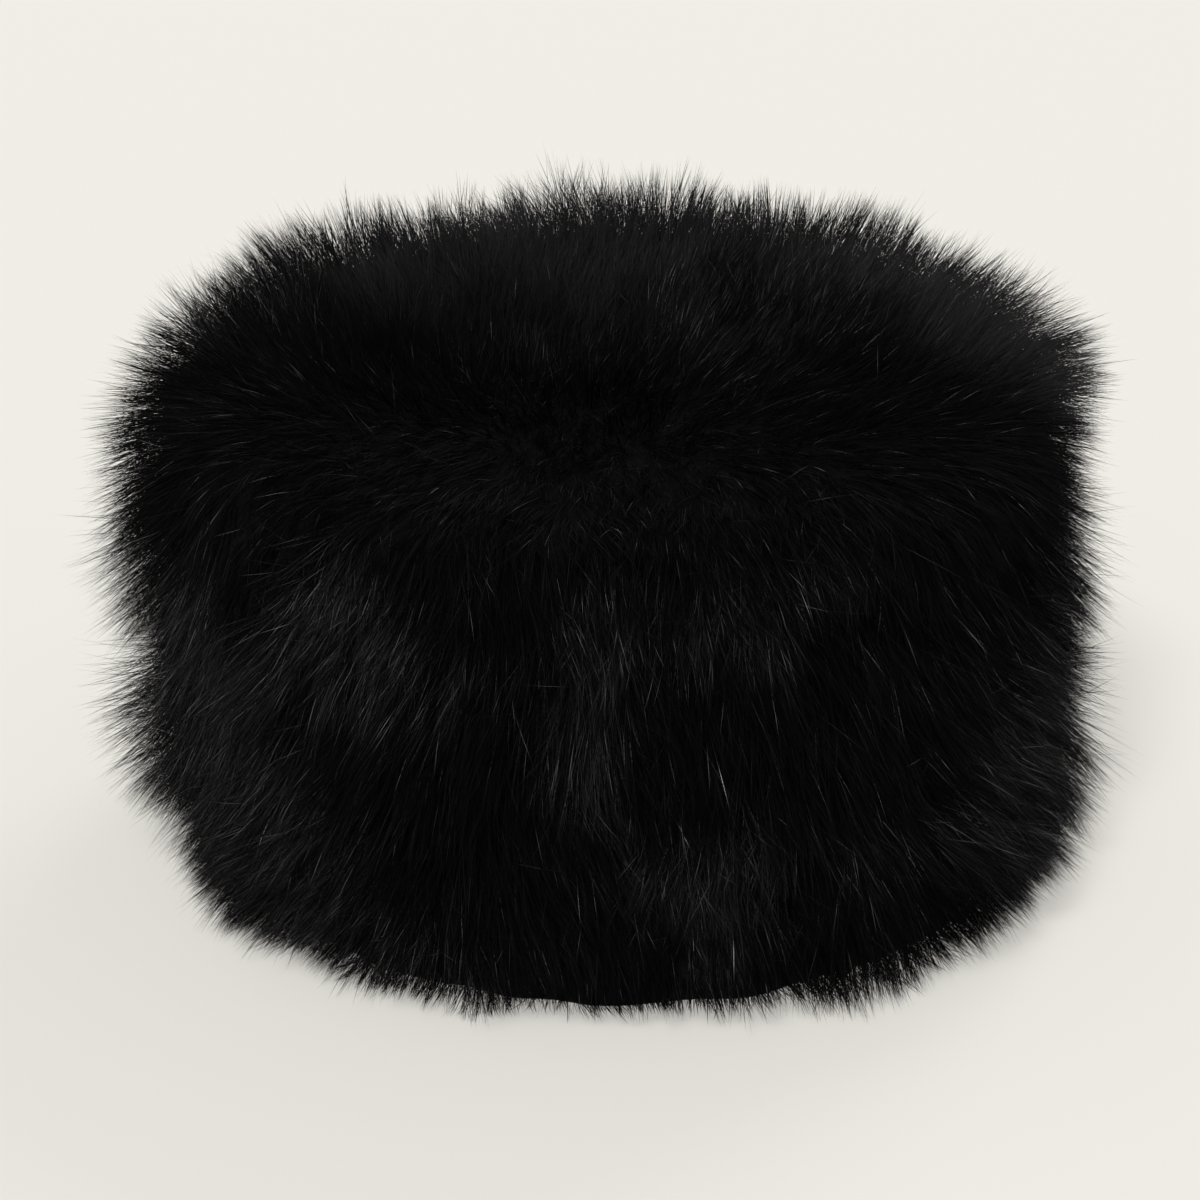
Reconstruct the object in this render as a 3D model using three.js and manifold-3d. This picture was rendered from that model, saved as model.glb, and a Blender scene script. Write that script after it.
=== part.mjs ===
// A deep-pile black fur hat: a round side band closed by a crown panel, both cut from fur cloth.
// Units are millimetres, +Z is up and the hat stands on its rim at z = 0. X runs across the head and +Y to
// its back. Every shape is made round first, then stretched in depth to the oval of a head.
import * as THREE from "three";
import { mergeVertices } from "three/addons/utils/BufferGeometryUtils.js";
import Module from "manifold-3d";

const wasm = await Module();
wasm.setup();

// Driving dimensions
const openingWidth = 178; // across the head, inside the hem
const openingDepth = 190; // front to back, inside the hem
const bandHeight = 110; // rim to crown seam
const clothThickness = 2.4; // backing cloth with its seam allowance
const hemHeight = 20; // cloth turned in at the rim
const hemBevel = 1; // on the hem's upper inside edge
const crownRise = 8; // how far the middle of the crown stands above its seam
const pieceGap = 0.3; // clearance between neighbouring pieces

// Working values
const openingRadius = openingWidth / 2;
const depthStretch = openingDepth / openingWidth;
const wallInside = openingRadius + clothThickness; // above the hem
const roundSegments = 48; // round the cloth
const furSegments = 24; // round the underfur, which the locks break up
const wallSteps = 6; // along the band's wall, rim to seam
const crownSteps = 5; // along the crown's dome, middle to seam
const clearHeight = 2 * bandHeight; // above everything
const partingAngle = THREE.MathUtils.degToRad(38); // slope of the parting between the two piles
const partingReach = 90; // far enough out to pass every lock
const partingStart = 6; // how far inside the seam its cutting cone begins
const smallestFacet = 0.1; // slivers left by cutting are smoothed out below this size
const mergeDistance = 0.004; // corners closer than this become one
const tidyPasses = 3; // each pass parts what only touched at a corner

// How much the band's wall swells at each height, for a soft band that is fullest at its middle
const bandSections = [
  { height: 0, swell: 0 },
  { height: 20, swell: 0.6 },
  { height: 45, swell: 1.6 },
  { height: 70, swell: 1.8 },
  { height: 92, swell: 0.8 },
  { height: bandHeight, swell: -1.6 },
];

// The crown panel's upper face, from its middle to its seam, as shares of the panel's radius and of its rise
const crownSections = [
  { reach: 0, rise: 1 },
  { reach: 0.3, rise: 0.95 },
  { reach: 0.55, rise: 0.78 },
  { reach: 0.78, rise: 0.46 },
  { reach: 1, rise: 0 },
];

// Outer face of the band's close underfur, which its locks grow out of
const bandUnderfur = [
  { radius: 98, height: 0.8 },
  { radius: 108, height: 5 },
  { radius: 115, height: 34 },
  { radius: 117, height: 80 },
  { radius: 111, height: 128 },
];

// Upper face of the crown's close underfur
const crownUnderfur = [
  { radius: 0, height: 137 },
  { radius: 60, height: 135 },
  { radius: 112, height: 127 },
];

// Rows of locks up the band, from the rim to the crown. Out is measured from the hat's axis, up from its rim.
// A lock bends towards its bend point, without reaching it. The pile has slumped a little to one side, so each
// row is shifted across the hat.
const bandLocks = [
  { rootOut: 100, rootUp: 38, bendOut: 122, bendUp: 21, tipOut: 115, tipUp: 1.5, count: 22, shift: 4 },
  { rootOut: 101, rootUp: 74, bendOut: 126, bendUp: 58, tipOut: 125, tipUp: 31, count: 23, shift: 2 },
  { rootOut: 101, rootUp: 103, bendOut: 127, bendUp: 96, tipOut: 128, tipUp: 67, count: 24, shift: 0 },
  { rootOut: 98, rootUp: 112, bendOut: 120, bendUp: 120, tipOut: 126, tipUp: 102, count: 23, shift: -3 },
  { rootOut: 96, rootUp: 100, bendOut: 119, bendUp: 111, tipOut: 122, tipUp: 136, count: 22, shift: -1 },
];

// Rings of locks on the crown, from its edge to its middle
const crownLocks = [
  { rootOut: 92, rootUp: 113, bendOut: 106, bendUp: 131, tipOut: 113, tipUp: 141, count: 20, shift: -1 },
  { rootOut: 73, rootUp: 117, bendOut: 83, bendUp: 134, tipOut: 90, tipUp: 145, count: 15, shift: 0 },
  { rootOut: 50, rootUp: 119, bendOut: 57, bendUp: 137, tipOut: 62, tipUp: 148, count: 10, shift: 0 },
  { rootOut: 26, rootUp: 120, bendOut: 30, bendUp: 138, tipOut: 34, tipUp: 149, count: 5, shift: 0 },
  { rootOut: 0, rootUp: 120, bendOut: 1, bendUp: 138, tipOut: 3, tipUp: 149, count: 1, shift: 0 },
];

// How wide a lock is from root to tip, as shares of its row's spacing
const lockOutline = [
  { along: 0, width: 0.8 },
  { along: 0.46, width: 1.18 },
  { along: 0.78, width: 0.68 },
  { along: 1, width: 0 },
];

const bandLock = { sides: 3, thickness: 0.42 }; // a leaf with its ridge outwards, thickness a share of width
const crownLock = { sides: 4, thickness: 0.85 };
const middleLockSpacing = 26; // for the single lock at the crown's middle
const swayShare = 0.3; // sideways lean of a tip, as a share of the spacing in its row
const bendSwayShare = 1 / 3; // how much of it the bend has
const placeSpread = 0.15; // how unevenly the locks are spaced, as a share of the spacing
const widthSpread = 0.12; // and how much their widths differ
const reachSpread = 2.2; // how unevenly the tips stand out
const heightSpread = 4; // and how unevenly they hang
const lowestTip = 0.6; // keeps the pile off the ground so that the hat stands on its rim

// Unrelated multipliers, so that the unevenness doesn't repeat
const shuffle = { row: 12.9898, index: 78.233, which: 37.719, reach: 43758.5453 };

// A repeatable spread between -1 and 1 for the locks' unevenness
function uneven(row, index, which) {
  const wave = Math.sin(row * shuffle.row + index * shuffle.index + which * shuffle.which) * shuffle.reach;
  return 2 * (wave - Math.floor(wave)) - 1;
}

// A closed three.js geometry as a solid that can be joined and cut
function solidOf(geometry) {
  const bare = geometry.clone();
  bare.deleteAttribute("normal");
  bare.deleteAttribute("uv");
  const merged = mergeVertices(bare, mergeDistance);
  return new wasm.Manifold(
    new wasm.Mesh({
      numProp: 3,
      vertProperties: new Float32Array(merged.attributes.position.array),
      triVerts: new Uint32Array(merged.index.array),
    }),
  );
}

function geometryOf(solid) {
  const { vertProperties, triVerts } = solid.getMesh();
  const geometry = new THREE.BufferGeometry();
  geometry.setAttribute("position", new THREE.BufferAttribute(vertProperties, 3));
  geometry.setIndex(new THREE.BufferAttribute(triVerts, 1));
  geometry.computeVertexNormals();
  return geometry;
}

// The main body of a solid, without scraps cut loose by the parting or pockets shut in between locks
function mainBody(solid) {
  let body = solid;
  for (let pass = 0; pass < tidyPasses; pass += 1) {
    const parts = solidOf(geometryOf(body.simplify(smallestFacet))).decompose();
    body = parts.reduce((most, other) => (other.volume() > most.volume() ? other : most));
  }
  return body;
}

// Turns a profile of [radius, height] points about the upright axis. The points run so that faces look out.
function turned(points, segments = roundSegments) {
  const profile = points.map(([radius, height]) => new THREE.Vector2(radius, height));
  return new THREE.LatheGeometry(profile, segments).rotateX(Math.PI / 2);
}

// A smooth line through a table's rows, as [radius, height] points
function smoothLine(points, steps) {
  const line = new THREE.SplineCurve(points.map(([x, y]) => new THREE.Vector2(x, y)));
  return line.getPoints(steps).map(({ x, y }) => [x, y]);
}

function closedRing(points) {
  return turned([...points, points[0]]);
}

// The band's wall, moved outwards by the offset
function wallLine(offset) {
  const points = bandSections.map(({ height, swell }) => [wallInside + swell + offset, height]);
  return smoothLine(points, wallSteps);
}

const bandTopRadius = wallInside + bandSections.at(-1).swell + clothThickness;
const crownSeamHeight = bandHeight + pieceGap;
const seamEdge = { radius: bandTopRadius + pieceGap, height: crownSeamHeight + clothThickness / 2 };

// The crown's upper face, lifted by the offset
function crownLine(offset) {
  const base = crownSeamHeight + clothThickness + offset;
  const points = crownSections.map(({ reach, rise }) => [reach * bandTopRadius, base + rise * crownRise]);
  return smoothLine(points, crownSteps);
}

// The side band's cloth: a hollow wall whose lower edge is turned in as a hem
function bandCloth() {
  const outside = wallLine(clothThickness);
  const inside = wallLine(0).filter(([, height]) => height > hemHeight);
  const hem = [
    [wallInside + bandSections[1].swell, hemHeight],
    [openingRadius, hemHeight - hemBevel],
    [openingRadius, 0],
  ];
  return closedRing([...outside, ...inside.reverse(), ...hem]);
}

// The crown panel's cloth: a shallow dome that sits on the band's upper edge
function crownCloth() {
  return turned([...crownLine(-clothThickness), ...crownLine(0).reverse()]);
}

function onRing(radius, angle, height) {
  return new THREE.Vector3(radius * Math.cos(angle), radius * Math.sin(angle), height);
}

// One tapered lock that bends from root to tip, with the first of its corners facing outward
function furLock(root, bend, tip, outward, width, { sides, thickness }) {
  const path = new THREE.QuadraticBezierCurve3(root, bend, tip);
  const steps = lockOutline.length - 1;
  const lock = new THREE.ConeGeometry(1, 1, sides, steps);
  const place = lock.attributes.position;
  for (let i = 0; i < place.count; i += 1) {
    const share = THREE.MathUtils.clamp(place.getY(i) + 0.5, 0, 1);
    const section = lockOutline[Math.round(share * steps)];
    const spread = share < 1 ? (section.width * width) / 2 / (1 - share) : 0;
    const forward = path.getTangent(section.along);
    const face = outward.clone().addScaledVector(forward, -outward.dot(forward)).normalize();
    const side = new THREE.Vector3().crossVectors(forward, face);
    const point = path
      .getPoint(section.along)
      .addScaledVector(side, place.getX(i) * spread)
      .addScaledVector(face, place.getZ(i) * spread * thickness);
    place.setXYZ(i, point.x, point.y, point.z);
  }
  return lock;
}

// Joins every lock of a table to the underfur it grows from
function withLocks(underfur, rows, firstRow, form) {
  let fur = underfur;
  rows.forEach((row, rowIndex) => {
    const turn = (2 * Math.PI) / row.count;
    const spacing = row.count > 1 ? (turn * (row.rootOut + row.tipOut)) / 2 : middleLockSpacing;
    for (let i = 0; i < row.count; i += 1) {
      const vary = (which) => uneven(firstRow + rowIndex, i, which);
      const angle = (i + (rowIndex % 2) / 2 + placeSpread * vary(1)) * turn;
      const sway = row.count > 1 ? swayShare * turn * vary(2) : 0;
      const tipUp = Math.max(lowestTip, row.tipUp + heightSpread * vary(3));
      const root = onRing(row.rootOut, angle, row.rootUp);
      const bend = onRing(row.bendOut, angle + sway * bendSwayShare, row.bendUp);
      const tip = onRing(row.tipOut + reachSpread * vary(4), angle + sway, tipUp);
      bend.x += row.shift;
      tip.x += row.shift;
      const width = spacing * (1 + widthSpread * vary(5));
      fur = fur.add(solidOf(furLock(root, bend, tip, onRing(1, angle, 0), width, form)));
    }
  });
  return fur;
}

// What lies above or below the parting, which slopes up and out from the crown seam
function besideParting(above) {
  const rise = partingReach * Math.tan(partingAngle);
  const fall = partingStart * Math.tan(partingAngle);
  const lift = (above ? -pieceGap : pieceGap) / 2 / Math.cos(partingAngle);
  const line = [
    [0, seamEdge.height - fall + lift],
    [seamEdge.radius - partingStart, seamEdge.height - fall + lift],
    [seamEdge.radius + partingReach, seamEdge.height + rise + lift],
  ];
  const farHeight = above ? seamEdge.height + 2 * rise : -rise;
  const outline = [...line, [line[2][0], farHeight], [0, farHeight]];
  return solidOf(turned(above ? outline : outline.reverse()));
}

// The band's pile, round the outside of its cloth
function bandFur() {
  const outside = bandUnderfur.map(({ radius, height }) => [radius, height]);
  const underfur = solidOf(turned([[0, outside[0][1]], ...outside, [0, outside.at(-1)[1]]], furSegments));
  const wall = wallLine(clothThickness + pieceGap);
  const head = solidOf(turned([[0, -1], ...wall, [seamEdge.radius, clearHeight], [0, clearHeight]]));
  const fur = withLocks(underfur, bandLocks, 0, bandLock).subtract(head).subtract(besideParting(true));
  return mainBody(fur);
}

// The crown's pile, over the top of its cloth
function crownFur() {
  const top = crownUnderfur.map(({ radius, height }) => [radius, height]).reverse();
  const underfur = solidOf(turned([[0, bandHeight], [seamEdge.radius, bandHeight], ...top], furSegments));
  const domed = crownLine(pieceGap).reverse();
  const head = solidOf(turned([[0, 0], [seamEdge.radius, 0], [seamEdge.radius, domed[0][1]], ...domed]));
  const locked = withLocks(underfur, crownLocks, bandLocks.length, crownLock);
  const fur = locked.subtract(head).subtract(besideParting(false));
  return mainBody(fur);
}

const furFinish = { color: 0x0b0b0c, roughness: 0.62, metalness: 0 };
const clothFinish = { color: 0x161617, roughness: 0.95, metalness: 0 };

function piece(name, geometry, finish) {
  const mesh = new THREE.Mesh(geometry, new THREE.MeshStandardMaterial(finish));
  mesh.name = name;
  return mesh;
}

const hat = new THREE.Group();
hat.add(
  piece("side_band_cloth", bandCloth(), clothFinish),
  piece("crown_panel_cloth", crownCloth(), clothFinish),
  piece("side_band_fur", geometryOf(bandFur()), furFinish),
  piece("crown_panel_fur", geometryOf(crownFur()), furFinish),
);
hat.scale.y = depthStretch;
hat.updateMatrixWorld(true);
const middle = new THREE.Box3().setFromObject(hat, true).getCenter(new THREE.Vector3());
hat.position.set(-middle.x, -middle.y, 0);

export default hat;
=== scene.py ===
import math
import bmesh
import bpy
import numpy as np
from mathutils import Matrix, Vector, kdtree


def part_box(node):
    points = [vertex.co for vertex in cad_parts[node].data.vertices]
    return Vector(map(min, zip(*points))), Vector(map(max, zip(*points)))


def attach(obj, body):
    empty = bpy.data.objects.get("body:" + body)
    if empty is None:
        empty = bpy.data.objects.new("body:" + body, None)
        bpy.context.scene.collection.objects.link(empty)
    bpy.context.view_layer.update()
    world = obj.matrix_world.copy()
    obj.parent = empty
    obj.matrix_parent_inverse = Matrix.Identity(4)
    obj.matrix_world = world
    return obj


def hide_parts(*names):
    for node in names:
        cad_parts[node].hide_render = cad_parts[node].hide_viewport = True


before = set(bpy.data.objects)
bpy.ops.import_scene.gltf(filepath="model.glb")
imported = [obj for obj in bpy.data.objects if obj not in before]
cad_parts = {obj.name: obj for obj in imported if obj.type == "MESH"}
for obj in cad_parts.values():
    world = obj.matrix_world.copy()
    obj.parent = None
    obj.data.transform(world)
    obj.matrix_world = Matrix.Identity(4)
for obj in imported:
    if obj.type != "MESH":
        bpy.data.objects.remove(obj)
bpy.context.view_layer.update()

mm = 0.001
fullTurn = 2 * math.pi
floorGap = 0.4  # mm, and nothing sinks lower
scene = bpy.context.scene
seeds = {
    "underfur": 11,
    "locks": 21,
    "tufts": 22,
    "wideFlow": 31,  # the flows use the next two seeds as well
    "nearFlow": 41,
    "tone": 51,
    "length": 61,
    "guardWave": 71,
}

# camera, at the photo's angle
camera = {
    "elevation": 23,  # degrees above the hat
    "distance": 1300,  # mm
    "frameWidth": 319,  # mm across the picture, at the hat's middle
    "aim": (-2.2, -1.4, 66.7),  # mm
    "sensorWidth": 36,  # mm
    "clipStart": 50,  # mm
}


def addCamera(s):
    tilt = math.radians(s["elevation"])
    away = Vector((0, -math.cos(tilt), math.sin(tilt)))
    data = bpy.data.cameras.new("camera")
    data.sensor_width = s["sensorWidth"]
    data.lens = s["sensorWidth"] * s["distance"] / s["frameWidth"]
    data.clip_start = s["clipStart"] * mm
    cam = bpy.data.objects.new("camera", data)
    cam.location = (Vector(s["aim"]) + away * s["distance"]) * mm
    cam.rotation_euler = (-away).to_track_quat("-Z", "Y").to_euler()
    scene.collection.objects.link(cam)
    scene.camera = cam


addCamera(camera)

# studio: a pale floor under a big soft light
studio = {
    "floorSize": 12,  # m
    "floorColor": (0.839, 0.815, 0.762),
    "floorRoughness": 0.9,
    "floorGlow": 0.5,  # how much of its brightness comes through it, as on a light table
    "worldStrength": 0.4,
}
# turn and height are in degrees, turn from the hat's right towards its back
lamps = [
    dict(name="frontLight", turn=-106, height=52, spread=14, strength=2.1),
    dict(name="backLight", turn=60, height=40, spread=25, strength=0.8),
]


def newMaterial(name, roughness, gloss):
    material = bpy.data.materials.new(name)
    material.use_nodes = True
    shader = material.node_tree.nodes["Principled BSDF"]
    shader.inputs["Roughness"].default_value = roughness
    shader.inputs["Specular IOR Level"].default_value = gloss
    return material, material.node_tree, shader


def addStudio(s):
    scene.view_settings.view_transform = "Standard"
    world = bpy.data.worlds.new("studioAir")
    world.use_nodes = True
    air = world.node_tree.nodes["Background"]
    air.inputs["Color"].default_value = (1, 1, 1, 1)
    air.inputs["Strength"].default_value = s["worldStrength"]
    scene.world = world
    bm = bmesh.new()
    bmesh.ops.create_grid(bm, x_segments=1, y_segments=1, size=s["floorSize"] / 2)
    mesh = bpy.data.meshes.new("floor")
    bm.to_mesh(mesh)
    bm.free()
    floor = bpy.data.objects.new("floor", mesh)
    scene.collection.objects.link(floor)
    material, _, shader = newMaterial("paleFloor", s["floorRoughness"], 0)
    lit = [channel * (1 - s["floorGlow"]) for channel in s["floorColor"]]
    shader.inputs["Base Color"].default_value = (*lit, 1)
    shader.inputs["Emission Color"].default_value = (*s["floorColor"], 1)
    shader.inputs["Emission Strength"].default_value = s["floorGlow"]
    mesh.materials.append(material)


def addLamp(name, turn, height, spread, strength):
    data = bpy.data.lights.new(name, "SUN")
    data.angle = math.radians(spread)
    data.energy = strength
    lamp = bpy.data.objects.new(name, data)
    turn, height = math.radians(turn), math.radians(height)
    level = math.cos(height)
    towards = Vector((math.cos(turn) * level, math.sin(turn) * level, math.sin(height)))
    lamp.rotation_euler = towards.to_track_quat("Z", "Y").to_euler()
    scene.collection.objects.link(lamp)


addStudio(studio)
for lamp in lamps:
    addLamp(**lamp)
print("camera and studio placed")

# the hat's middle and its oval, from the band's cloth
clothLow, clothHigh = (np.array(corner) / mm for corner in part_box("side_band_cloth"))
middle = (clothLow + clothHigh) / 2
depthStretch = (clothHigh[1] - clothLow[1]) / (clothHigh[0] - clothLow[0])
seamHeight = clothHigh[2]
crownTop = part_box("crown_panel_cloth")[1].z / mm

# The close underfur's outer face, as mm from the hat's axis and mm up, run from the rim up the band and
# over the crown, with how the hair on it lies: lean is the tips' angle above level, front what the front
# of the hat adds to that, and shift moves the level sideways.
pileRows = [
    dict(radius=100, height=1.2, lean=-15, front=0, length=12, shift=3),
    dict(radius=107, height=4, lean=-30, front=0, length=12, shift=4),
    dict(radius=109, height=16, lean=-50, front=6, length=19, shift=4),
    dict(radius=109, height=34, lean=-48, front=4, length=27, shift=4),
    dict(radius=108, height=50, lean=-50, front=2, length=29, shift=3),
    dict(radius=108, height=72, lean=-58, front=2, length=27, shift=2),
    dict(radius=109, height=90, lean=-55, front=-2, length=28, shift=1),
    dict(radius=110, height=104, lean=-46, front=-10, length=25, shift=0),
    dict(radius=111, height=114, lean=-28, front=-30, length=22, shift=-1),
    dict(radius=112, height=122, lean=-2, front=-54, length=22, shift=0),
    dict(radius=109, height=129, lean=24, front=-70, length=22, shift=2),
    dict(radius=99, height=132, lean=44, front=-70, length=21, shift=3),
    dict(radius=80, height=134, lean=60, front=-60, length=18, shift=3),
    dict(radius=55, height=135, lean=72, front=-44, length=17, shift=3),
    dict(radius=25, height=136, lean=82, front=-30, length=16.5, shift=3),
    dict(radius=0, height=136, lean=89, front=-30, length=16.5, shift=3),
]
partingHeight = 124  # where the band's pile meets the crown's


# every column of pileRows as a smooth curve against the way along the profile
def smoothColumns(rows, samples=600, blur=36):
    radius, height = (np.array([row[key] for row in rows], float) for key in ("radius", "height"))
    way = np.concatenate([[0], np.cumsum(np.hypot(np.diff(radius), np.diff(height)))])
    even = np.linspace(0, way[-1], samples)
    window = np.hanning(blur + 1)
    columns = {"way": even}
    for key in rows[0]:
        line = np.interp(even, way, [row[key] for row in rows])
        padded = np.pad(line, blur, mode="reflect", reflect_type="odd")
        columns[key] = np.convolve(padded, window / window.sum(), mode="same")[blur:-blur]
    columns["radius"] = np.maximum(columns["radius"], 0)
    run, rise = np.gradient(columns["radius"]), np.gradient(columns["height"])
    columns["normalOut"] = rise / np.hypot(run, rise)
    columns["normalUp"] = -run / np.hypot(run, rise)
    columns["area"] = np.cumsum(columns["radius"])  # grows as the surface does
    return columns


pile = smoothColumns(pileRows)
partingWay = np.interp(partingHeight, pile["height"], pile["way"])
crownWay = pile["way"][-1]


def readPile(way):
    return {key: np.interp(way, pile["way"], column) for key, column in pile.items()}


# soft, repeatable unevenness over the hat, about -1 to 1, with lumps of about the given size in mm
def softNoise(points, size, seed, waves=16, sizeSpread=(0.7, 1.4)):
    rng = np.random.default_rng(seed)
    across = rng.normal(size=(waves, 3))
    across *= rng.uniform(*sizeSpread, (waves, 1)) * fullTurn / size / np.linalg.norm(across, axis=1)[:, None]
    return np.sin(points @ across.T + rng.uniform(0, fullTurn, waves)).sum(1) / math.sqrt(waves)


def softNoise3(points, size, seed):
    return np.stack([softNoise(points, size, seed + axis) for axis in range(3)], axis=1)


# from the round working shape to the hat's oval, in metres
def placed(points, shift):
    out = np.array(points, float)
    out[..., 0] += middle[0] + shift
    out[..., 1] = out[..., 1] * depthStretch + middle[1]
    out[..., 2] = np.maximum(out[..., 2], floorGap)
    return out * mm


def finishPiece(obj, slotName, material, *nodes):
    obj.data.materials.clear()
    obj.data.materials.append(material)
    scene.collection.objects.link(obj)
    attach(obj, "root")
    if nodes:
        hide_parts(*nodes)


# values are numbers or other nodes' outputs
def mathNode(nodes, links, operation, *values):
    node = nodes.new("ShaderNodeMath")
    node.operation = operation
    for value, socket in zip(values, node.inputs):
        if isinstance(value, bpy.types.NodeSocket):
            links.new(value, socket)
        else:
            socket.default_value = value
    return node.outputs[0]


# where along a pale hair its paleness, on guard hairs a painted glint, shows, as shares of its length
paintedGlintBand = {
    "shuffle": 9,  # times a hair's tone, whose fraction then places the band
    "range": 0.45,
    "first": 0.4,
    "fullWithin": 0.04,  # of the band's middle
    "goneBeyond": 0.2,
}
mixColorA, mixColorB, mixColorOut = 6, 7, 2  # the colour sockets of a Mix node


# colour and roughness of hair from the way along it and from each hair's own tone, both kept in its UV map;
# the paleness it adds is partly the hair's own tone and partly painted sheen and painted glints
def makeHairTone(s):
    group = bpy.data.node_groups.new("hairTone", "ShaderNodeTree")
    for name, kind in (("Root", "Color"), ("Tip", "Color"), ("Pale And Sheen Share", "Float"), ("Pale And Sheen Gain", "Float"),
                       ("Band", "Float"), ("Roughness", "Float"), ("Pale Gloss", "Float")):
        group.interface.new_socket(name, in_out="INPUT", socket_type=f"NodeSocket{kind}")
    for name, kind in (("Color", "Color"), ("Roughness", "Float")):
        group.interface.new_socket(name, in_out="OUTPUT", socket_type=f"NodeSocket{kind}")
    nodes, links = group.nodes, group.links
    given, result = nodes.new("NodeGroupInput"), nodes.new("NodeGroupOutput")
    uv = nodes.new("ShaderNodeUVMap")
    uv.uv_map = "OFBake"
    split = nodes.new("ShaderNodeSeparateXYZ")
    links.new(uv.outputs["UV"], split.inputs[0])
    along, tone = split.outputs["X"], split.outputs["Y"]
    hue = nodes.new("ShaderNodeMix")
    hue.data_type = "RGBA"
    links.new(along, hue.inputs[0])
    links.new(given.outputs["Root"], hue.inputs[mixColorA])
    links.new(given.outputs["Tip"], hue.inputs[mixColorB])
    # the palest hairs are those whose tone is near 1; their paleness is partly their own tone and partly
    # painted sheen and painted glints
    pale = nodes.new("ShaderNodeMapRange")
    pale.interpolation_type = "SMOOTHSTEP"
    links.new(tone, pale.inputs["Value"])
    links.new(mathNode(nodes, links, "SUBTRACT", 1, given.outputs["Pale And Sheen Share"]), pale.inputs["From Min"])
    # and each only along one stretch, somewhere in its outer part, where a guard hair's painted glint shows
    place = mathNode(nodes, links, "MULTIPLY", tone, s["shuffle"])
    place = mathNode(nodes, links, "FRACT", place)
    place = mathNode(nodes, links, "MULTIPLY_ADD", place, s["range"], s["first"])
    offBand = mathNode(nodes, links, "ABSOLUTE", mathNode(nodes, links, "SUBTRACT", along, place))
    band = nodes.new("ShaderNodeMapRange")
    band.interpolation_type = "SMOOTHSTEP"
    band.inputs["From Min"].default_value = s["goneBeyond"]
    band.inputs["From Max"].default_value = s["fullWithin"]
    links.new(offBand, band.inputs["Value"])
    missing = mathNode(nodes, links, "SUBTRACT", 1, band.outputs[0])
    missing = mathNode(nodes, links, "MULTIPLY", missing, given.outputs["Band"])
    banded = mathNode(nodes, links, "SUBTRACT", 1, missing)
    banded = mathNode(nodes, links, "MULTIPLY", pale.outputs[0], banded)
    gain = nodes.new("ShaderNodeMapRange")
    gain.inputs["To Min"].default_value = 1
    links.new(banded, gain.inputs["Value"])
    links.new(given.outputs["Pale And Sheen Gain"], gain.inputs["To Max"])
    color = nodes.new("ShaderNodeVectorMath")
    color.operation = "SCALE"
    links.new(hue.outputs[mixColorOut], color.inputs[0])
    links.new(gain.outputs[0], color.inputs["Scale"])
    links.new(color.outputs["Vector"], result.inputs["Color"])
    rough = mathNode(
        nodes, links, "MULTIPLY_ADD", banded, given.outputs["Pale Gloss"], given.outputs["Roughness"])
    links.new(rough, result.inputs["Roughness"])
    return group


hairTone = makeHairTone(paintedGlintBand)


def hairMaterial(name, gloss, given):
    material, tree, shader = newMaterial(name, given["Roughness"], gloss)
    tone = tree.nodes.new("ShaderNodeGroup")
    tone.node_tree = hairTone
    for key, value in given.items():
        tone.inputs[key].default_value = value
    tree.links.new(tone.outputs["Color"], shader.inputs["Base Color"])
    tree.links.new(tone.outputs["Roughness"], shader.inputs["Roughness"])
    return material


# soft hair: its paleness is partly its own tone and partly the painted sheen of the haze patches
softToneAndSheen = {
    "Root": (0.0042, 0.0042, 0.0043, 1),
    "Tip": (0.0036, 0.0036, 0.0037, 1),
    "Pale And Sheen Share": 0.6,  # of the range of tones
    "Pale And Sheen Gain": 6,  # how many times as bright the palest is
    "Band": 0,  # 1 to keep the paleness within its band, 0 to spread it over the hair
    "Roughness": 0.65,
    "Pale Gloss": -0.1,  # what paleness adds to the roughness
}
# guard hair: its paleness, up to fifty times as bright as its black, is a painted glint
guardToneAndGlint = {
    "Root": (0.002, 0.002, 0.0022, 1),
    "Tip": (0.004, 0.004, 0.0043, 1),
    "Pale And Sheen Share": 0.45,
    "Pale And Sheen Gain": 50,
    "Band": 1,
    "Roughness": 0.75,
    "Pale Gloss": -0.45,
}
# the soft hair's colour holds painted sheen, the guard hair's colour painted glints
softHair = hairMaterial("softBlackHairPaintedSheen", 0.03, softToneAndSheen)
guardHair = hairMaterial("glossyGuardHairPaintedGlints", 0.5, guardToneAndGlint)


# a base colour that varies with a pattern's value, which also raises the surface, by relief in mm
def patterned(name, roughness, gloss, pattern, low, high, relief):
    material, tree, shader = newMaterial(name, roughness, gloss)
    nodes, links = tree.nodes, tree.links
    coords = nodes.new("ShaderNodeTexCoord")
    value = pattern(nodes, links, coords.outputs["Object"])
    ramp = nodes.new("ShaderNodeValToRGB")
    ramp.color_ramp.elements[0].color = low
    ramp.color_ramp.elements[1].color = high
    links.new(value, ramp.inputs["Fac"])
    links.new(ramp.outputs["Color"], shader.inputs["Base Color"])
    bump = nodes.new("ShaderNodeBump")
    bump.inputs["Distance"].default_value = relief * mm
    links.new(value, bump.inputs["Height"])
    links.new(bump.outputs["Normal"], shader.inputs["Normal"])
    return material


def feltedPattern(nodes, links, place, scale=420, detail=6):
    noise = nodes.new("ShaderNodeTexNoise")
    noise.inputs["Scale"].default_value = scale
    noise.inputs["Detail"].default_value = detail
    links.new(place, noise.inputs["Vector"])
    return noise.outputs["Fac"]


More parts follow.
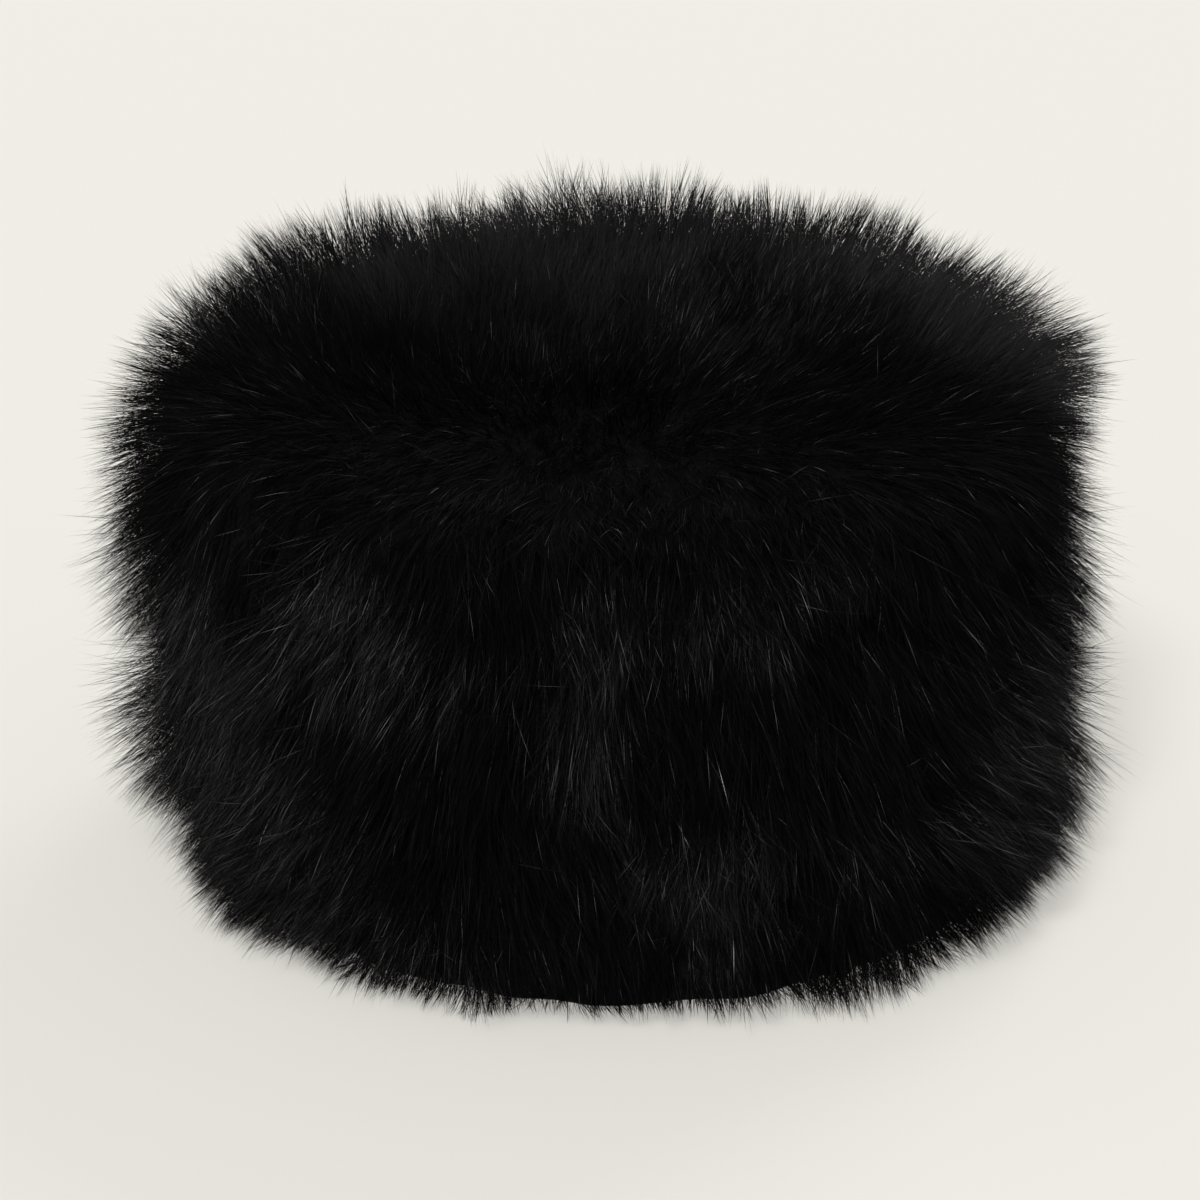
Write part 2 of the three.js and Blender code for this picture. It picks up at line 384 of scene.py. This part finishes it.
# the purl side of a close knit: small loops, wider than they are high, in uneven rows
def knitPattern(nodes, links, place, scale=720, wideness=1.5, unevenness=0.6):
    stretch = nodes.new("ShaderNodeMapping")
    stretch.inputs["Scale"].default_value = (1, 1, wideness)
    links.new(place, stretch.inputs["Vector"])
    loops = nodes.new("ShaderNodeTexVoronoi")
    loops.inputs["Scale"].default_value = scale
    loops.inputs["Randomness"].default_value = unevenness
    links.new(stretch.outputs["Vector"], loops.inputs["Vector"])
    return mathNode(nodes, links, "SUBTRACT", 1, loops.outputs["Distance"])


feltedFur = patterned(
    "feltedUnderfur", roughness=0.95, gloss=0.05, pattern=feltedPattern,
    low=(0.001, 0.001, 0.001, 1), high=(0.004, 0.004, 0.0045, 1), relief=1)
knit = patterned(
    "knittedBacking", roughness=0.9, gloss=0.2, pattern=knitPattern,
    low=(0.012, 0.012, 0.013, 1), high=(0.034, 0.034, 0.037, 1), relief=0.5)

for nodeName in ("side_band_cloth", "crown_panel_cloth"):
    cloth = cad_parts[nodeName].data
    cloth.materials.clear()
    cloth.materials.append(knit)
print("materials made")

# close underfur under the long hair
underfur = {
    "turns": 160,
    "step": 5,  # mm along the profile
    "merge": 0.02,  # corners closer than this, in mm, become one
    "lump": 1.4,  # mm
    "lumpSize": 24,
    "lumpReach": 10,  # nearer the axis than this, in mm, lumps fade
    "outerReach": 0.5,  # a corner this near to the profile, in mm, is on the outer face
    "clothGap": 0.9,  # mm off the backing cloth
    "partingGap": 0.2,  # mm between the band's and the crown's
}
wall = (clothHigh[0] - clothLow[0]) / 2 + underfur["clothGap"]
bandLining = [
    dict(radius=wall, height=seamHeight + 2),
    dict(radius=wall, height=pileRows[0]["height"]),
    dict(radius=pileRows[0]["radius"], height=pileRows[0]["height"]),
]
crownLining = [
    dict(radius=0, height=crownTop + 1),
    dict(radius=50, height=crownTop - 0.7),
    dict(radius=72, height=crownTop - 3),
    dict(radius=93.5, height=seamHeight + 4),
    dict(radius=wall, height=seamHeight + 3.2),
]


# lining is the side that lies on the backing cloth
def addUnderfur(name, s, low, high, lining, node):
    rows = readPile(np.linspace(low, high, round((high - low) / s["step"])))
    outline = list(zip(rows["radius"], rows["height"]))
    outline += [(row["radius"], row["height"]) for row in lining]
    onAxis = lining[0]["radius"] == 0
    if onAxis:
        outline.append(outline[0])
    bm = bmesh.new()
    profile = [bm.verts.new((radius, 0, height)) for radius, height in outline]
    edges = [bm.edges.new(pair) for pair in zip(profile, profile[1:])]
    if not onAxis:
        edges.append(bm.edges.new((profile[-1], profile[0])))
    bmesh.ops.spin(
        bm, geom=profile + edges, axis=(0, 0, 1), cent=(0, 0, 0), angle=fullTurn, steps=s["turns"],
        use_merge=True)
    bmesh.ops.remove_doubles(bm, verts=bm.verts, dist=s["merge"])
    bmesh.ops.recalc_face_normals(bm, faces=bm.faces)
    points = np.array([v.co for v in bm.verts])
    reach = np.hypot(points[:, 0], points[:, 1])
    offRow = np.hypot(reach[:, None] - rows["radius"], points[:, 2:] - rows["height"])
    outer = offRow.min(1) < s["outerReach"]
    lumps = softNoise(points, s["lumpSize"], seeds["underfur"]) * s["lump"] * outer
    points[:, :2] *= (1 + lumps / np.maximum(reach, s["lumpReach"]))[:, None]
    points = placed(points, np.interp(points[:, 2], pile["height"], pile["shift"]) * outer)
    for vert, place in zip(bm.verts, points):
        vert.co = place
    for face in bm.faces:
        face.smooth = True
    mesh = bpy.data.meshes.new(name)
    bm.to_mesh(mesh)
    bm.free()
    finishPiece(bpy.data.objects.new(name, mesh), "fur", feltedFur, node)


crownStart = partingWay + underfur["partingGap"]
addUnderfur("side_band_underfur", underfur, 0, partingWay, bandLining, "side_band_fur")
addUnderfur("crown_panel_underfur", underfur, crownStart, crownWay, crownLining, "crown_panel_fur")
print("underfur made")

# long hair, grown from the underfur as flat tapered ribbons that gather in locks and finer tufts
hair = {
    "along": (0, 0.4, 0.75, 1),
    "width": (1, 0.95, 0.8, 0),  # at those places along the hair, as shares of its full width
    "widthSpread": (0.7, 1.2),
    "rootDepth": 2,  # mm into the underfur
    "bendAt": 0.4,  # share of its length at which a hair has taken up its lie
    "straightness": 0.65,  # how much of it the hair has from the root
    "leastRise": 0.12,  # out of the pile, so that none grows into it
    "frontStart": 20,  # mm behind the hat's middle, where its front's lie begins
    "frontDepth": 100,
    "strayPower": 2.5,  # higher for fewer stray hairs
    "wideFlow": 0.14,  # how the lie wanders over the hat, and then over each patch
    "wideSize": 75,
    "nearFlow": 0.12,
    "nearSize": 22,
    "lockFlow": 0.15,  # how far a lock and a tuft turn away from it
    "tuftFlow": 0.18,
    "lockSpacing": 13,
    "tuftSpacing": 2,
    "grip": (0.3, 1),  # how tightly tufts hold together, from the loosest to the tightest
    "lockPull": 0.16,  # how far tips gather towards the middle of their lock, and of a tight tuft
    "tuftPull": 0.92,
    "pullPower": 1.5,  # higher to leave more of the hair where it was
    "lengthSpread": 0.12,  # in all, and then the weights of a lock, a tuft and a single hair in it
    "lengthOfLock": 0.5,
    "lengthOfTuft": 0.8,
    "lengthOfOne": 0.25,
    "lengthWave": 0.07,
    "lengthWaveSize": 30,
    "lengthLimits": (0.45, 1.45),
    "reachLimit": np.array([146, 155, 180]),  # mm from the frame's origin, from which tips are drawn back
    "reachPower": 5,
    "toneBase": 0.08,  # of a soft hair, and then what adds to it
    "toneOfOne": 0.22,
    "toneOfTuft": 0.1,
    "toneOfLock": 0.1,
    "toneWave": 0.08,
    "toneSize": 40,
    "toneLimits": (0.02, 0.98),
    "toneEdge": 0.002,  # how far the UV map's two edges of a hair lie to each side of its tone
    "uvMargin": 0.01,
    "guardChoice": 4,  # places tried for each guard hair
    "guardBase": 0.1,  # its chance where nothing glints, and then the least anywhere
    "guardLeast": 0.006,
    "guardWave": 0.7,  # how unevenly guard hairs crowd
    "guardWaveSize": 16,
}
# stray is how far each hair turns away from its tuft, which it follows less when gather is low
softKind = dict(width=0.18, stray=0.45, gather=1, longer=1, guard=False, material=softHair)
guardKind = dict(width=0.09, stray=0.6, gather=0.4, longer=1.02, guard=True, material=guardHair)
hairPieces = [
    dict(name="band_hair", parts=4, low=0, high=partingWay, count=23000, seed=100, kind=softKind),
    dict(name="crown_hair", parts=2, low=partingWay, high=crownWay, count=23000, seed=200, kind=softKind),
    dict(name="guard_hair", parts=2, low=0, high=crownWay, count=28000, seed=300, kind=guardKind),
]
# Places where the pile differs: turn in degrees as for the lamps, then reach, height and size in mm. Haze is
# painted sheen, and painted shade where below 0, added to the tone of the soft hair; glint is the share of
# the guard hairs, which carry painted glints, that grow there; longer adds to a hair's length as a share, and
# right, back and up to its lie.
paintedSheenPatches = [
    dict(turn=-126, reach=110, height=112, size=20, paintedHaze=0, paintedGlint=0.33),
    dict(turn=-141, reach=109, height=116, size=12, paintedHaze=0.04, paintedGlint=0.14),
    dict(turn=-150, reach=108, height=106, size=22, paintedHaze=0.1, paintedGlint=0.3),
    dict(turn=-125, reach=110, height=80, size=14, paintedHaze=-0.08, paintedGlint=-0.2),
    dict(turn=-160, reach=108, height=84, size=20, paintedHaze=0.06, paintedGlint=0.1),
    dict(turn=-113, reach=110, height=110, size=15, paintedHaze=0, paintedGlint=0.34),
    dict(turn=-90, reach=111, height=124, size=13, paintedHaze=0.05, paintedGlint=0.25),
    dict(turn=-92, reach=110, height=112, size=16, paintedHaze=0.05, paintedGlint=0.31),
    dict(turn=-93, reach=110, height=92, size=13, paintedHaze=0, paintedGlint=0.1),
    dict(turn=-76, reach=110, height=117, size=15, paintedHaze=0.05, paintedGlint=0.31),
    dict(turn=-56, reach=110, height=118, size=16, paintedHaze=0, paintedGlint=0.07),
    dict(turn=-25, reach=110, height=114, size=18, paintedHaze=0.1, paintedGlint=0.35),
    dict(turn=-38, reach=110, height=116, size=12, paintedHaze=0.03, paintedGlint=0.12),
    dict(turn=-79, reach=110, height=50, size=13, paintedHaze=0, paintedGlint=0.17),
    dict(turn=-76, reach=108, height=30, size=12, paintedHaze=0, paintedGlint=0.1),
    dict(turn=-52, reach=110, height=48, size=18, paintedHaze=0, paintedGlint=0.08),
    dict(turn=-33, reach=110, height=62, size=18, paintedHaze=0.08, paintedGlint=0.12),
    dict(turn=-134, reach=110, height=48, size=20, paintedHaze=0.05, paintedGlint=0.3),
    dict(turn=-50, reach=110, height=22, size=18, paintedHaze=-0.1, paintedGlint=-0.3),
    dict(turn=-52, reach=110, height=86, size=24, paintedHaze=-0.15, paintedGlint=-0.5),
    dict(turn=-76, reach=110, height=84, size=16, paintedHaze=-0.1, paintedGlint=-0.4),
    dict(turn=-112, reach=110, height=62, size=20, paintedHaze=-0.15, paintedGlint=-0.5),
    dict(turn=-96, reach=110, height=31, size=20, paintedHaze=-0.15, paintedGlint=-0.5),
    dict(turn=-62, reach=110, height=18, size=22, paintedHaze=-0.15, paintedGlint=-0.3),
    dict(turn=-90, reach=90, height=132, size=36, paintedHaze=-0.2, paintedGlint=-0.6),
    dict(turn=-30, reach=98, height=130, size=32, paintedHaze=-0.2, paintedGlint=-0.8),
    dict(turn=-150, reach=98, height=130, size=32, paintedHaze=-0.12, paintedGlint=-0.8),
    dict(turn=-112, reach=108, height=124, size=14, paintedHaze=-0.1, paintedGlint=-0.6),
    dict(turn=-140, reach=108, height=126, size=18, paintedHaze=-0.1, paintedGlint=-0.6),
    dict(turn=60, reach=50, height=136, size=26, paintedHaze=0, paintedGlint=0.2),
    dict(turn=90, reach=20, height=136, size=45, paintedHaze=0.2, paintedGlint=-0.06),
    dict(turn=95, reach=90, height=134, size=60, paintedHaze=0.55, paintedGlint=-0.2),
    dict(turn=150, reach=60, height=135, size=36, paintedHaze=0.3, paintedGlint=-0.1),
    dict(turn=32, reach=90, height=133, size=30, paintedHaze=0.6, paintedGlint=-0.1),
    dict(turn=2, reach=102, height=130, size=30, paintedHaze=1.1, paintedGlint=-0.1),
]
lengthPatches = [
    dict(turn=180, reach=111, height=113, size=13, longer=0.4),
    dict(turn=180, reach=108, height=86, size=12, longer=0.35),
    dict(turn=180, reach=108, height=64, size=9, longer=-0.45),
    dict(turn=185, reach=108, height=44, size=15, longer=0.65),
    dict(turn=190, reach=109, height=16, size=12, longer=-0.6),
    dict(turn=-150, reach=108, height=12, size=18, longer=0.15),
    dict(turn=8, reach=106, height=129, size=24, longer=0.35),
    dict(turn=0, reach=111, height=117, size=13, longer=-0.4),
    dict(turn=-5, reach=108, height=90, size=12, longer=0.3),
    dict(turn=0, reach=108, height=61, size=12, longer=-0.55),
    dict(turn=-5, reach=108, height=40, size=14, longer=0.35),
    dict(turn=-30, reach=108, height=16, size=22, longer=0.12),
    dict(turn=-90, reach=107, height=3, size=48, longer=-0.45),
    dict(turn=-55, reach=107, height=8, size=22, longer=0.35),
    dict(turn=118, reach=103, height=131, size=28, longer=-0.2),
    dict(turn=97, reach=103, height=131, size=8, longer=0.25),
    dict(turn=68, reach=103, height=131, size=12, longer=-0.2),
    dict(turn=38, reach=103, height=131, size=12, longer=-0.25),
]
liePatches = [
    dict(turn=0, reach=45, height=135, size=70, right=0.3, back=0, up=0),
    dict(turn=180, reach=45, height=135, size=40, right=0.35, back=0, up=0),
    dict(turn=5, reach=106, height=128, size=22, right=0.2, back=0, up=-0.35),
    dict(turn=-90, reach=85, height=128, size=58, right=0, back=-0.55, up=-0.1),
    dict(turn=-55, reach=105, height=127, size=28, right=-0.3, back=0, up=-0.2),
    dict(turn=-60, reach=108, height=110, size=22, right=0.3, back=0, up=0),
    dict(turn=-33, reach=108, height=66, size=24, right=0.4, back=0, up=0.1),
    dict(turn=-60, reach=108, height=36, size=18, right=-0.25, back=0, up=0),
    dict(turn=-160, reach=108, height=75, size=26, right=0.3, back=0, up=-0.2),
    dict(turn=185, reach=108, height=38, size=15, right=-0.3, back=0, up=0.12),
    dict(turn=-147, reach=109, height=106, size=26, right=0.25, back=0, up=-0.4),
    dict(turn=-116, reach=109, height=104, size=22, right=-0.45, back=0, up=0),
    dict(turn=-98, reach=108, height=62, size=20, right=0.45, back=0, up=0),
    dict(turn=-95, reach=108, height=30, size=20, right=0.35, back=0, up=0),
    dict(turn=-30, reach=109, height=108, size=26, right=0.05, back=0, up=-0.2),
]


def scatterRoots(rng, count, low, high, start=0, stop=fullTurn):
    area = rng.uniform(*np.interp([low, high], pile["way"], pile["area"]), count)
    return np.interp(area, pile["area"], pile["way"]), rng.uniform(start, stop, count)


# what the underfur has at some ways along its profile and turns about its axis
def underfurAt(way, turn):
    rows = readPile(way)
    outward = np.stack([np.cos(turn), np.sin(turn), np.zeros_like(turn)], 1)
    upward = np.zeros_like(outward) + (0, 0, 1)
    return dict(
        rows=rows, outward=outward, upward=upward,
        place=outward * rows["radius"][:, None] + upward * rows["height"][:, None],
        normal=outward * rows["normalOut"][:, None] + upward * rows["normalUp"][:, None])


# where locks or tufts gather, and how each one differs from its neighbours
def gatherPoints(spacing, seed):
    rng = np.random.default_rng(seed)
    surface = fullTurn * pile["area"][-1] * (pile["way"][1] - pile["way"][0])
    count = int(surface / spacing ** 2)
    place = underfurAt(*scatterRoots(rng, count, 0, crownWay))["place"]
    tree = kdtree.KDTree(count)
    for index, point in enumerate(place):
        tree.insert(point, index)
    tree.balance()
    return dict(
        tree=tree, place=place, turnAway=rng.normal(size=(count, 3)), length=rng.normal(size=count),
        tone=rng.random(count), grip=rng.uniform(*hair["grip"], (count, 1)))


locks = gatherPoints(hair["lockSpacing"], seeds["locks"])
tufts = gatherPoints(hair["tuftSpacing"], seeds["tufts"])


def nearest(gathered, points):
    return np.array([gathered["tree"].find(point)[1] for point in points])


def unit(vectors):
    return vectors / np.linalg.norm(vectors, axis=-1, keepdims=True)


# what the patches add at each point
def fromPatches(points, patches, *keys):
    amount = np.zeros((len(points), len(keys)))
    for patch in patches:
        turn, reach = math.radians(patch["turn"]), patch["reach"]
        centre = np.array([reach * math.cos(turn), reach * math.sin(turn), patch["height"]])
        near = np.exp(-((points - centre) ** 2).sum(1) / patch["size"] ** 2)
        amount += near[:, None] * [patch[key] for key in keys]
    return amount


def growRoots(rng, s, guard, count, low, high, start, stop):
    tries = s["guardChoice"] if guard else 1
    way, turn = scatterRoots(rng, count * tries, low, high, start, stop)
    if guard:  # these crowd where the pile glints
        # guard hairs carry painted glints, so more of them grow where glints are painted
        place = underfurAt(way, turn)["place"]
        paintedGlint = fromPatches(place, paintedSheenPatches, "paintedGlint")[:, 0]
        wanted = np.clip(s["guardBase"] + paintedGlint, s["guardLeast"], 1)
        wanted *= np.exp(s["guardWave"] * softNoise(place, s["guardWaveSize"], seeds["guardWave"]))
        chosen = rng.choice(len(way), count, replace=False, p=wanted / wanted.sum())
        way, turn = way[chosen], turn[chosen]
    return underfurAt(way, turn)


# which way each hair lies
def hairLie(rng, s, at, lock, tuft, stray):
    rows, root, normal = at["rows"], at["place"], at["normal"]
    count = len(root)
    front = np.clip((s["frontStart"] - root[:, 1]) / s["frontDepth"], 0, 1)
    lean = np.radians(rows["lean"] + rows["front"] * front ** 2 * (3 - 2 * front))[:, None]  # eased in
    lie = at["outward"] * np.cos(lean) + at["upward"] * np.sin(lean)
    lie += (s["wideFlow"] * softNoise3(root, s["wideSize"], seeds["wideFlow"])
            + s["nearFlow"] * softNoise3(root, s["nearSize"], seeds["nearFlow"]))
    lie += s["lockFlow"] * locks["turnAway"][lock] + s["tuftFlow"] * tufts["turnAway"][tuft]
    lie += fromPatches(root, liePatches, "right", "back", "up")
    lie = unit(lie + stray * rng.normal(size=(count, 3)) * rng.random((count, 1)) ** s["strayPower"])
    inward = np.maximum(s["leastRise"] - (lie * normal).sum(1), 0)[:, None]
    return unit(lie + normal * inward)


# points along each hair, in metres
def hairPath(rng, s, at, lock, tuft, lie, longer, gather):
    rows, root, normal = at["rows"], at["place"], at["normal"]
    spread = s["lengthOfLock"] * locks["length"][lock] + s["lengthOfTuft"] * tufts["length"][tuft]
    spread = spread + s["lengthOfOne"] * rng.normal(size=len(root))
    wave = s["lengthWave"] * softNoise(root, s["lengthWaveSize"], seeds["length"])
    share = 1 + s["lengthSpread"] * spread + wave
    share += fromPatches(root, lengthPatches, "longer")[:, 0]
    length = (longer * rows["length"] * np.clip(share, *s["lengthLimits"]))[:, None]
    base = root - normal * s["rootDepth"]
    towards = normal * (1 - s["straightness"]) + lie * s["straightness"]
    bend = base + towards * length * s["bendAt"]
    tip = bend + lie * length * (1 - s["bendAt"])
    t = np.array(s["along"])[None, :, None]
    path = base[:, None] * (1 - t) ** 2 + bend[:, None] * 2 * t * (1 - t) + tip[:, None] * t ** 2
    pull = s["lockPull"] * (locks["place"][lock] - root)
    pull += s["tuftPull"] * tufts["grip"][tuft] * (tufts["place"][tuft] - root)
    path = placed(path + gather * pull[:, None] * t ** s["pullPower"], rows["shift"][:, None])
    outside = np.abs(path[:, -1] / mm - middle) / (s["reachLimit"] - np.abs(middle))
    drawnBack = np.maximum(outside.max(1), 1)[:, None, None] ** s["reachPower"]
    return path[:, :1] + (path - path[:, :1]) / drawnBack


# the two edges of a ribbon along each hair, rolled at random about its own line, and then its tip
def ribbonCorners(rng, s, path, normal, width):
    count, steps = len(path), len(s["along"])
    forward = unit(path[:, -1] - path[:, 0])
    nudge = 1e-4  # for a hair that runs straight along the normal
    first = unit(np.cross(forward, normal + nudge))
    second = np.cross(forward, first)
    roll = rng.uniform(0, math.pi, count)[:, None]
    side = first * np.cos(roll) + second * np.sin(roll)
    side *= np.where((np.cross(side, forward) * normal).sum(1) < 0, -1, 1)[:, None]
    half = side[:, None] * np.array(s["width"])[:, None]
    half = half * rng.uniform(*s["widthSpread"], (count, 1, 1)) * width * mm / 2
    return np.stack([path - half, path + half], 2).reshape(count, 2 * steps, 3)[:, :-1]


# a guard hair's tone is its own and decides its painted glint, and a soft hair's follows its tuft, its lock
# and the painted sheen of the haze as well
def hairTones(rng, s, root, lock, tuft, guard):
    tone = rng.random(len(root))
    if not guard:
        tone = s["toneBase"] + s["toneOfOne"] * tone + s["toneOfTuft"] * tufts["tone"][tuft]
        tone = tone + s["toneOfLock"] * locks["tone"][lock]
        # painted sheen, and painted shade where below 0, laid onto the tone
        paintedHaze = fromPatches(root, paintedSheenPatches, "paintedHaze")[:, 0]
        tone += s["toneWave"] * softNoise(root, s["toneSize"], seeds["tone"]) + paintedHaze
    return np.clip(tone, *s["toneLimits"])


def addHair(name, s, seed, kind, count, low, high, start, stop):
    rng = np.random.default_rng(seed)
    at = growRoots(rng, s, kind["guard"], count, low, high, start, stop)
    lock, tuft = nearest(locks, at["place"]), nearest(tufts, at["place"])
    lie = hairLie(rng, s, at, lock, tuft, kind["stray"])
    path = hairPath(rng, s, at, lock, tuft, lie, kind["longer"], kind["gather"])
    points = ribbonCorners(rng, s, path, at["normal"], kind["width"])
    tone = hairTones(rng, s, at["place"], lock, tuft, kind["guard"])

    corners = points.shape[1]
    uv = np.empty((count, corners, 2))
    uv[..., 0] = np.repeat(s["along"], 2)[:corners] * (1 - 2 * s["uvMargin"]) + s["uvMargin"]
    uv[..., 1] = tone[:, None] + np.tile([-s["toneEdge"], s["toneEdge"]], len(s["along"]))[:corners]
    triangles = []
    for near in range(0, corners - 3, 2):
        triangles += [(near, near + 1, near + 3), (near, near + 3, near + 2)]
    triangles.append((corners - 3, corners - 2, corners - 1))
    faces = (np.arange(count)[:, None, None] * corners + np.array(triangles)).reshape(-1)

    mesh = bpy.data.meshes.new(name)
    mesh.vertices.add(count * corners)
    mesh.vertices.foreach_set("co", points.reshape(-1))
    mesh.loops.add(len(faces))
    mesh.loops.foreach_set("vertex_index", faces)
    mesh.polygons.add(len(faces) // 3)
    mesh.polygons.foreach_set("loop_start", np.arange(0, len(faces), 3))
    mesh.polygons.foreach_set("use_smooth", np.ones(len(faces) // 3, bool))
    mesh.update(calc_edges=True)
    mesh.uv_layers.new(name="OFBake").data.foreach_set("uv", uv.reshape(-1, 2)[faces].reshape(-1))
    finishPiece(bpy.data.objects.new(name, mesh), "fur", kind["material"])
    print(name, count, "hairs")


for piece in hairPieces:
    spec = dict(piece)
    name, parts, seed = spec.pop("name"), spec.pop("parts"), spec.pop("seed")
    for part in range(parts):
        start, stop = (fullTurn * share / parts for share in (part, part + 1))
        addHair(f"{name}_{part + 1}", hair, seed + part, start=start, stop=stop, **spec)
print("hair grown")
